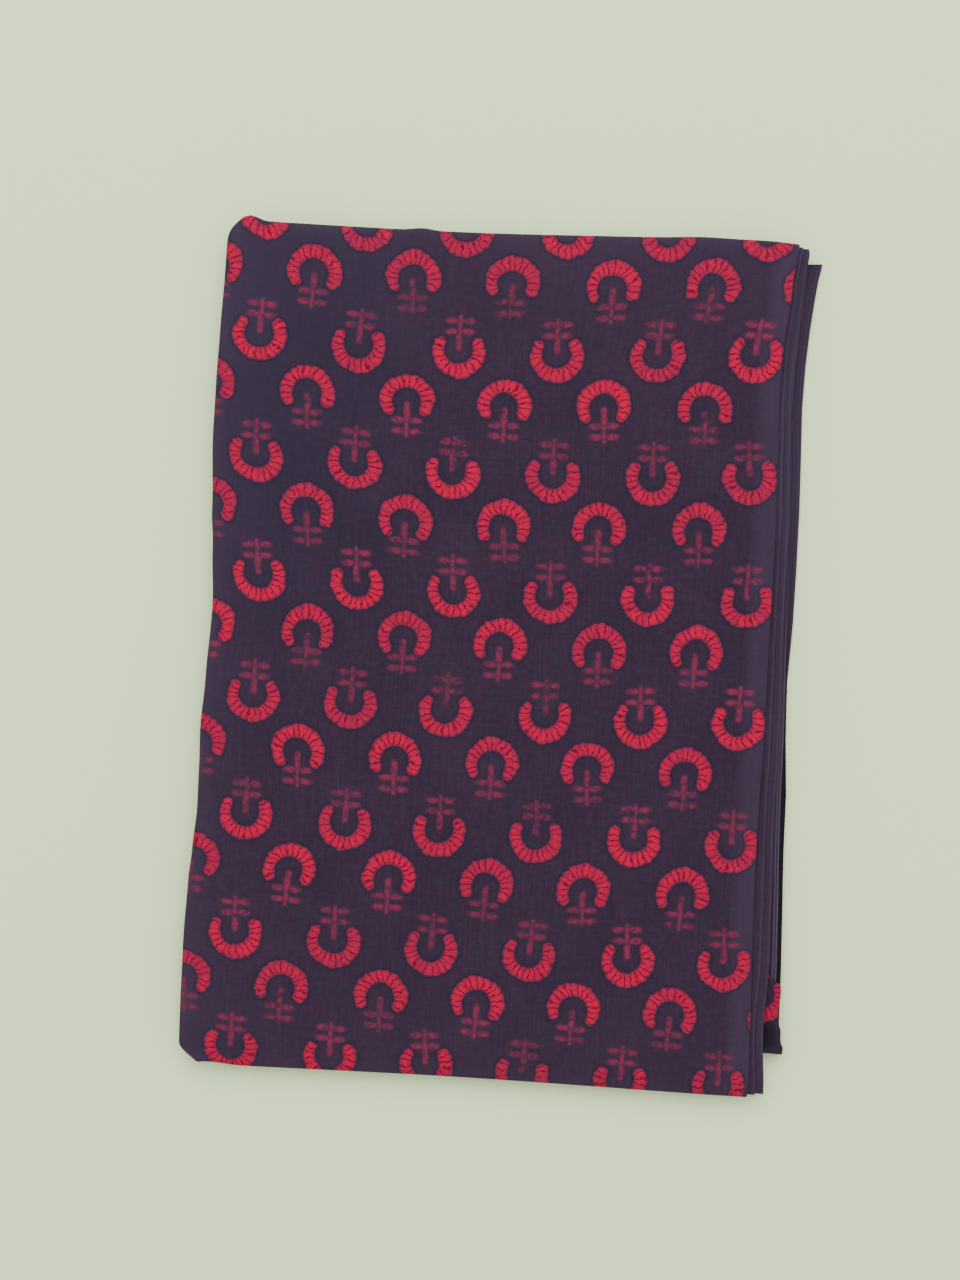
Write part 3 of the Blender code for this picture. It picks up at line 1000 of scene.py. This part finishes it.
# %% Each impression has its own small slip, lean and pressure
SLIP = 1.5
LEAN = math.radians(7)
slip_x, slip_y, lean = dice(motif_column, motif_row)
pressure, sprig_luck, carving = dice(motif_column, motif_row, 7.5)

moved_x = motif_x + (slip_x - 0.5) * SLIP
moved_y = motif_y + (slip_y - 0.5) * SLIP
angle = (lean - 0.5) * LEAN
cosine, sine = calculate("COSINE", angle), calculate("SINE", angle)
x = moved_x * cosine - moved_y * sine
y = moved_x * sine + moved_y * cosine

# %% The block's edge is cut by hand, and the cloth gives under it
SWING, WOBBLE = 1.5, 1.0
# Each motif takes its unevenness from a place of its own.
own = carving * 40.0 + motif_row * 3.7
swing_x = unevenness(x * 0.09, y * 0.09, own + 3.0, detail=0.0) - 0.5
swing_y = unevenness(x * 0.09, y * 0.09, own + 21.0, detail=0.0) - 0.5
wobble_x = unevenness(x * 0.32, y * 0.32, own) - 0.5
wobble_y = unevenness(x * 0.32, y * 0.32, own + 17.0) - 0.5
stem_x, stem_y = x + wobble_x * 0.5, y + wobble_y * 0.5
x = x + swing_x * SWING + wobble_x * WOBBLE
y = y + swing_y * SWING + wobble_y * WOBBLE
ragged = unevenness(x * 1.3, y * 1.3, own + 2.0) - 0.5
print("the print has used", len(tree.nodes), "nodes so far")

# %% [markdown]
# ## The crescent
#
# The crescent is a thick curved band of little wedges, like the petals of a garland. It is widest where
# it is closed, where some come to a faint point, and thinner at its two rounded tips. Its outline comes
# from how far a point is from the middle line of the band. Each wedge swells a little at the rim, and a
# thin dark line, cut by hand and never quite straight, parts it from the next. Some impressions end
# sooner at the tips, and the printer's hand bears down a little more on the right. A picture of the
# block could be stamped instead, but with formulas each impression can be a little different.

# %% The crescent's outline, in millimetres
BAND_RADIUS = 10.20
BAND_HALF, TIP_HALF = 3.40, 2.75
TIP_ANGLE, TIP_VARIES = math.radians(117), math.radians(12)
PEAK = 0.6
WIDER_THAN_TALL = 1.025
HARDER_ON_THE_RIGHT = 0.20

x = x / WIDER_THAN_TALL
around = calculate("ARCTAN2", x, y * -1.0)
around_side = absolute(around)
held = least(around_side, (sprig_luck - 0.5) * TIP_VARIES + TIP_ANGLE)
line_x = calculate("SINE", held) * BAND_RADIUS
line_y = calculate("COSINE", held) * -BAND_RADIUS
from_line = length_of(absolute(x) - line_x, y - line_y)
narrowing = calculate("POWER", held / TIP_ANGLE, 2.0)
pressed_side = calculate("SINE", around) * choose(is_turned, HARDER_ON_THE_RIGHT, -HARDER_ON_THE_RIGHT)
half_width = BAND_HALF - narrowing * (BAND_HALF - TIP_HALF) + pressed_side
from_centre = length_of(x, y)
outside_line = fades(from_centre, BAND_RADIUS - 2.0, BAND_RADIUS + 2.0)
peak = fades(around_side, 0.45, 0.0, 0.0, PEAK) * outside_line * carving
inside_by = half_width + peak - from_line

# %% The wedges and the lines between them
WEDGES = 14
WEDGE_ANGLE = 2 * TIP_ANGLE / WEDGES
WEDGE_BULGE = 0.52
LINE_HALF = 0.22
RAGGED_EDGE = 1.0

wander = unevenness(x * 0.28, y * 0.28, own + 5.0, detail=1.0) - 0.5
wedge_place = around / WEDGE_ANGLE + wander * 1.3 + carving + 50.0
wedge_share = absolute(calculate("FRACT", wedge_place) - 0.5)
to_line = (0.5 - wedge_share) * WEDGE_ANGLE * from_centre
bulge = wedge_share * wedge_share * 4.0 * choose(outside_line, 0.35, 1.0)
wedge_size, wedge_tone = dice(calculate("FLOOR", wedge_place), own, 3.5)[:2]
uneven = (wedge_size - 0.5) * choose(outside_line, 0.2, 0.7)
inside_by = inside_by + uneven - bulge * WEDGE_BULGE + ragged * RAGGED_EDGE - 0.05
line_strength = fades(unevenness(x * 0.4, y * 0.4, own + 9.0), 0.34, 0.52, 0.35, 1.0)
wedge_line = fades(to_line + ragged * 0.25, LINE_HALF + 0.38, LINE_HALF - 0.10) * line_strength
wedge_line = wedge_line * fades(inside_by, 0.1, 0.9, 0.65, 1.0)
crescent = fades(inside_by, -0.28, 0.32)
halo = fades(inside_by, -0.95, 0.0) * (1.0 - crescent)
dye_edge = fades(inside_by, -1.7, -0.8) * (1.0 - crescent)
by_the_print = fades(inside_by, -3.6, -0.6)

# %% [markdown]
# ## The sprig
#
# A straight stem stands in the mouth of the crescent, with two pairs of small leaves. It comes from a
# second block that prints a thinner, duller crimson with soft edges. It is often patchy, on a few motifs
# only its rims have printed, and on some it is nearly missing. Its shape needs no more than distances
# to a line and to four ovals.

# %% The stem and the leaves, in millimetres
STEM_FROM, STEM_TO = 1.6, 17.2
STEM_HALF, STEM_FOOT_HALF, FOOT_BELOW_Y = 0.80, 1.25, 8.5
LEAF_PAIRS_Y, LEAF_PAIRS_HALF_APART = 12.35, 2.75
LEAF_OUT, LEAF_HALF_LENGTH, LEAF_HALF_WIDTH = 4.2, 2.75, 1.35

nearest_on_stem = least(most(stem_y, STEM_FROM), STEM_TO)
stem_half = fades(stem_y, FOOT_BELOW_Y + 1.5, FOOT_BELOW_Y - 1.5, STEM_HALF, STEM_FOOT_HALF)
stem_inside = stem_half - length_of(stem_x, stem_y - nearest_on_stem)
leaf_x = (absolute(stem_x) - LEAF_OUT) / LEAF_HALF_LENGTH
leaf_y = (absolute(stem_y - LEAF_PAIRS_Y) - LEAF_PAIRS_HALF_APART) / LEAF_HALF_WIDTH
leaf_inside = (1.0 - length_of(leaf_x, leaf_y)) * LEAF_HALF_WIDTH
sprig_inside = most(stem_inside, leaf_inside) + ragged * 0.6

# %% Where the sprig is patchy, and where only its rim has printed
patch = unevenness(stem_x * 0.30, stem_y * 0.30, own + 23.0, detail=3.0)
blotch = unevenness(stem_x * 0.45, stem_y * 0.45, own + 27.0)
kept = fades(patch + sprig_luck * 0.45 - 0.36, 0.0, 0.22, 0.10, 1.0)
sprig = fades(sprig_inside, -0.95, 0.55) * kept
sprig_rim = sprig * fades(absolute(sprig_inside - 0.1), 0.60, 0.10)
rims_only = fades(slip_x + (patch - 0.5) * 0.6, 0.88, 1.04)
sprig = sprig * (1.0 - rims_only * 0.55 * fades(sprig_inside, 0.25, 0.75))
sprig = sprig * fades(blotch, 0.32, 0.58, 0.55, 1.0)
sprig_dense = fades(blotch + sprig_inside * 0.12, 0.38, 0.72)
print("the motif has", len(tree.nodes), "nodes")

# %% [markdown]
# ## Weave, thread and dye
#
# The cloth is a plain weave of fine, slightly uneven threads, about 28 to the centimetre. Thick and
# thin threads show as faint lines both ways. The aubergine dye is a little cloudy, paler where the
# folds have worn, where painted light is added as well, and it carries specks of pale lint. The
# threads could be modelled, but the cloth has some twenty million crossings, so the material draws them.

# %% The threads
THREAD_PITCH = 0.36
warp_phase = (u_mm + (unevenness(u_mm * 0.5, v_mm * 0.02) - 0.5) * 0.25) / THREAD_PITCH
weft_phase = (v_mm + (unevenness(u_mm * 0.02, v_mm * 0.5, 4.0) - 0.5) * 0.25) / THREAD_PITCH
warp = absolute(calculate("SINE", warp_phase * math.pi))
weft = absolute(calculate("SINE", weft_phase * math.pi))
over = calculate("FLOORED_MODULO", calculate("FLOOR", warp_phase) + calculate("FLOOR", weft_phase), 2.0)
thread_height = choose(over, warp, weft)

# %% Thick and thin threads, and cloudy dye
warp_slub = unevenness(u_mm * 0.85, v_mm * 0.045, 11.0) - 0.5
weft_slub = unevenness(u_mm * 0.06, v_mm * 0.85, 31.0) - 0.5
grain = unevenness(u_mm * 1.1, v_mm * 0.8, 17.0) - 0.5
slubs = warp_slub * 0.9 + weft_slub * 0.5 + grain * 0.5
selvedge_threads = unevenness(u_mm * 1.9, v_mm * 0.014, 51.0, detail=3.0, roughness=0.65)
cloud = unevenness(u_mm * 0.022, v_mm * 0.022, 2.0, detail=3.0) - 0.5
fine_cloud = unevenness(u_mm * 0.35, v_mm * 0.35, 6.0) - 0.5

# %% Lint
LINT_SPACING = 9.0
LINT_RADIUS = 0.22
LINT_FROM, LINT_STRENGTH = 0.72, 0.5
lint_place = together(u_mm / LINT_SPACING, v_mm / LINT_SPACING)
lint_cells = new_node("TexVoronoi", {"Vector": lint_place, "Scale": 1.0})
lint_chosen = calculate("GREATER_THAN", in_three(lint_cells.outputs["Color"])[0], LINT_FROM)
lint_near = fades(Amount(lint_cells.outputs["Distance"]) * LINT_SPACING, LINT_RADIUS, LINT_RADIUS * 0.5)
lint = lint_chosen * lint_near * LINT_STRENGTH

# %% [markdown]
# ## The colours
#
# Each layer of colour goes over the one before: the ground, the dye that crept out round the red, the
# sprig, the crescent, and its dark lines. The reverse of the cloth shows the print faintly, and a
# narrow margin beside each selvedge isn't printed at all. The ground is a little cooler towards the
# upper left. All could be mixed in one step, but laid over one another, each can be changed alone.

# %% Colours of the dyes, and of painted light and shade, as the share of light that each sends back
GROUND = (0.0138, 0.0086, 0.0186, 1.0)
GROUND_PALE = (0.0220, 0.0130, 0.0275, 1.0)
GROUND_WARM = (0.0180, 0.0080, 0.0178, 1.0)
GROUND_WARM_PALE = (0.0270, 0.0116, 0.0250, 1.0)
GROUND_COOL = (0.0121, 0.0114, 0.0246, 1.0)
GROUND_BY_PRINT = (0.0125, 0.0092, 0.0212, 1.0)
# Of the next four, the first is paleness from wear and painted light, then come painted light, a paler
# selvedge with a painted highlight, and painted shade.
GROUND_WORN_AND_PAINTED_LIGHT = (0.0330, 0.0210, 0.0405, 1.0)
STICKS_OUT_PAINTED_LIGHT = (0.0270, 0.0175, 0.0340, 1.0)
SELVEDGE_PALE_AND_HIGHLIGHT = (0.0520, 0.0360, 0.0600, 1.0)
PAINTED_SHADE = (0.0045, 0.0034, 0.0052, 1.0)
DYE_EDGE = (0.0088, 0.0068, 0.0140, 1.0)
RED = (0.330, 0.0000, 0.0225, 1.0)
RED_PINK = (0.220, 0.0045, 0.0275, 1.0)
RED_THIN = (0.135, 0.0115, 0.0350, 1.0)
CRIMSON_LINE = (0.080, 0.0014, 0.0130, 1.0)
SPRIG_CRIMSON = (0.078, 0.0130, 0.0345, 1.0)
SPRIG_DENSE = (0.138, 0.0105, 0.0330, 1.0)
CREPT_DYE = (0.075, 0.0110, 0.0290, 1.0)
LINT_PALE = (0.16, 0.14, 0.17, 1.0)

# %% The print's strength
MARGIN_FROM, MARGIN_TO = 0.0095, 0.0115
SHOWS_THROUGH = 0.28
WORN_OFF = 0.85
in_margin = fades(read_number("to_selvedge"), MARGIN_FROM, MARGIN_TO)
sticks_out_here = read_number("sticks_out")
printed = in_margin * choose(read_number("face_side"), SHOWS_THROUGH, 1.0)
printed = printed * (1.0 - sticks_out_here * WORN_OFF)
taken_up = 0.90 + thread_height * 0.10 + slubs * 0.25
crescent_strength = printed * crescent * taken_up
sprig_strength = printed * sprig * (0.66 + pressure * 0.32)

# %% The ground, what crept into it, and the painted light and shade on it
ground_share = fades(slubs * 0.9 + cloud * 0.7 + fine_cloud * 0.8, -0.35, 0.45)
warmth = fades(unevenness(u_mm * 0.16, v_mm * 0.16, 61.0, detail=3.0, roughness=0.6), 0.36, 0.64)
ground = blend(ground_share, GROUND, GROUND_PALE)
ground = blend(warmth * 0.8, ground, blend(ground_share, GROUND_WARM, GROUND_WARM_PALE))
coolness = fades(u_mm, -20.0, -130.0) * fades(v_mm, -80.0, 160.0)
ground = blend(coolness * 0.45, ground, GROUND_COOL)
ground = blend(printed * by_the_print * 0.40, ground, GROUND_BY_PRINT)
# Paleness along the folds: partly wear, and partly painted light.
ground = blend(read_number("worn_and_painted_light") * 0.6, ground, GROUND_WORN_AND_PAINTED_LIGHT)
# Painted light on the edges that stick out at the right.
pale = sticks_out_here * fades(selvedge_threads, 0.38, 0.62, 0.0, 1.1)
pale = most(pale, read_number("painted_light_edge") * fades(selvedge_threads, 0.38, 0.62, 0.8, 1.0))
ground = blend(pale, ground, STICKS_OUT_PAINTED_LIGHT)
to_selvedge_mm = read_number("to_selvedge") * MM
# Paler selvedges, with a painted highlight on the fourth length up.
ground = blend(fades(to_selvedge_mm, 1.2, 0.5) * read_number("selvedge_light"), ground, SELVEDGE_PALE_AND_HIGHLIGHT)
# Painted shade beside the lowest selvedges and in the hollow of the loose corner.
ground = blend(fades(to_selvedge_mm, 4.0, 2.5) * read_number("painted_shade_edge") * 0.9, ground, PAINTED_SHADE)
ground = blend(read_number("hollow") * 0.85, ground, PAINTED_SHADE)
ground = blend(printed * dye_edge * 0.55, ground, DYE_EDGE)
colour = blend(printed * halo * 0.55, ground, CREPT_DYE)

# %% The print over it
mottle = unevenness(x * 0.9, y * 0.9, own + 13.0, detail=3.0, roughness=0.65)
specks = fades(unevenness(x * 1.1, y * 1.1, own + 41.0, detail=1.0), 0.33, 0.24)
thin_here = fades(unevenness(x * 0.55, y * 0.55, own + 33.0, detail=3.0) - pressure * 0.10, 0.45, 0.58)
sprig_colour = blend(most(sprig_dense, sprig_rim * 0.3), SPRIG_CRIMSON, SPRIG_DENSE)
colour = blend(sprig_strength, colour, sprig_colour)
rim_thin = fades(inside_by + (mottle - 0.5) * 3.0, 1.6, 0.2)
pinkish = fades(mottle + slubs * 0.4 + (wedge_tone - pressure) * 0.14, 0.43, 0.65)
red = blend(pinkish, RED, RED_PINK)
red = blend(most(rim_thin * 0.9, thin_here * 0.75), red, RED_THIN)
red = blend(most(wedge_line * 0.96, specks * 0.55), red, CRIMSON_LINE)
colour = blend(crescent_strength, colour, red)
colour = blend(lint, colour, LINT_PALE)
print("the whole finish has", len(tree.nodes), "nodes")

# %% Relief and sheen
THREAD_RELIEF = 0.05
relief = thread_height * THREAD_RELIEF + slubs * 0.12 + fine_cloud * 0.10
bump = new_node("Bump", {"Strength": 0.6, "Distance": 0.001, "Height": relief})
roughness = fades(thread_height, 0.0, 1.0, 0.95, 0.82)
shader = tree.nodes["Principled BSDF"]
feed(shader, {"Base Color": colour, "Normal": bump.outputs["Normal"], "Roughness": roughness})
feed(shader, {"Specular IOR Level": 0.08, "Sheen Weight": 0.05, "Sheen Roughness": 0.45})
feed(shader, {"Sheen Tint": (0.62, 0.50, 0.78, 1.0)})
mesh.materials.append(material)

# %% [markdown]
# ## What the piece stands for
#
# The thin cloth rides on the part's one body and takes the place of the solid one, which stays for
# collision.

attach(cloth, "root")
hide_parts("folded_cloth")

# %% [markdown]
# ## Floor, light and camera
#
# The floor is plain and pale. The light is that of a bright overcast room: most of it comes from all
# round, and a large soft lamp past the top end gives the folds a faint shade. The camera looks
# straight down, turned a little, so that the packet leans as it does in the photograph. A sun lamp
# would be simpler, but its shadows are harder than any in such a room.

# %% The floor
FLOOR_SIZE = 8.0
FLOOR_COLOUR = (0.54, 0.66, 0.378, 1.0)
bpy.ops.mesh.primitive_plane_add(size=FLOOR_SIZE)
floor = bpy.context.object
floor.name = "floor"
paint = bpy.data.materials.new("pale_floor")
paint.use_nodes = True
matt = paint.node_tree.nodes["Principled BSDF"]
feed(matt, {"Base Color": FLOOR_COLOUR, "Roughness": 0.9, "Specular IOR Level": 0.1})
floor.data.materials.append(paint)

# %% The light
SKY_STRENGTH = 1.5
LAMP_PLACE = (-0.1, 0.9, 1.9)
LAMP_SIZE = 1.8
LAMP_POWER = 55.0
world = bpy.data.worlds.new("soft_room_light")
world.use_nodes = True
feed(world.node_tree.nodes["Background"], {"Color": (1.0, 1.0, 1.0, 1.0), "Strength": SKY_STRENGTH})
bpy.context.scene.world = world

lamp = bpy.data.lights.new("window", "AREA")
lamp.shape = "DISK"
lamp.size = LAMP_SIZE
lamp.energy = LAMP_POWER
window = add_object("window", lamp)
window.location = LAMP_PLACE
window.rotation_euler = (-Vector(LAMP_PLACE)).to_track_quat("-Z", "Y").to_euler()

# %% The camera
CAMERA_X, CAMERA_Y = -0.01356, 0.00731
CAMERA_HEIGHT = 1.2616
CAMERA_TURN = math.radians(3.3)
LENS = 70.0
camera_data = bpy.data.cameras.new("camera")
camera_data.lens = LENS
camera_data.clip_start = 0.01
camera = add_object("camera", camera_data)
camera.location = (CAMERA_X, CAMERA_Y, CAMERA_HEIGHT)
camera.rotation_euler = (0.0, 0.0, CAMERA_TURN)
bpy.context.scene.camera = camera
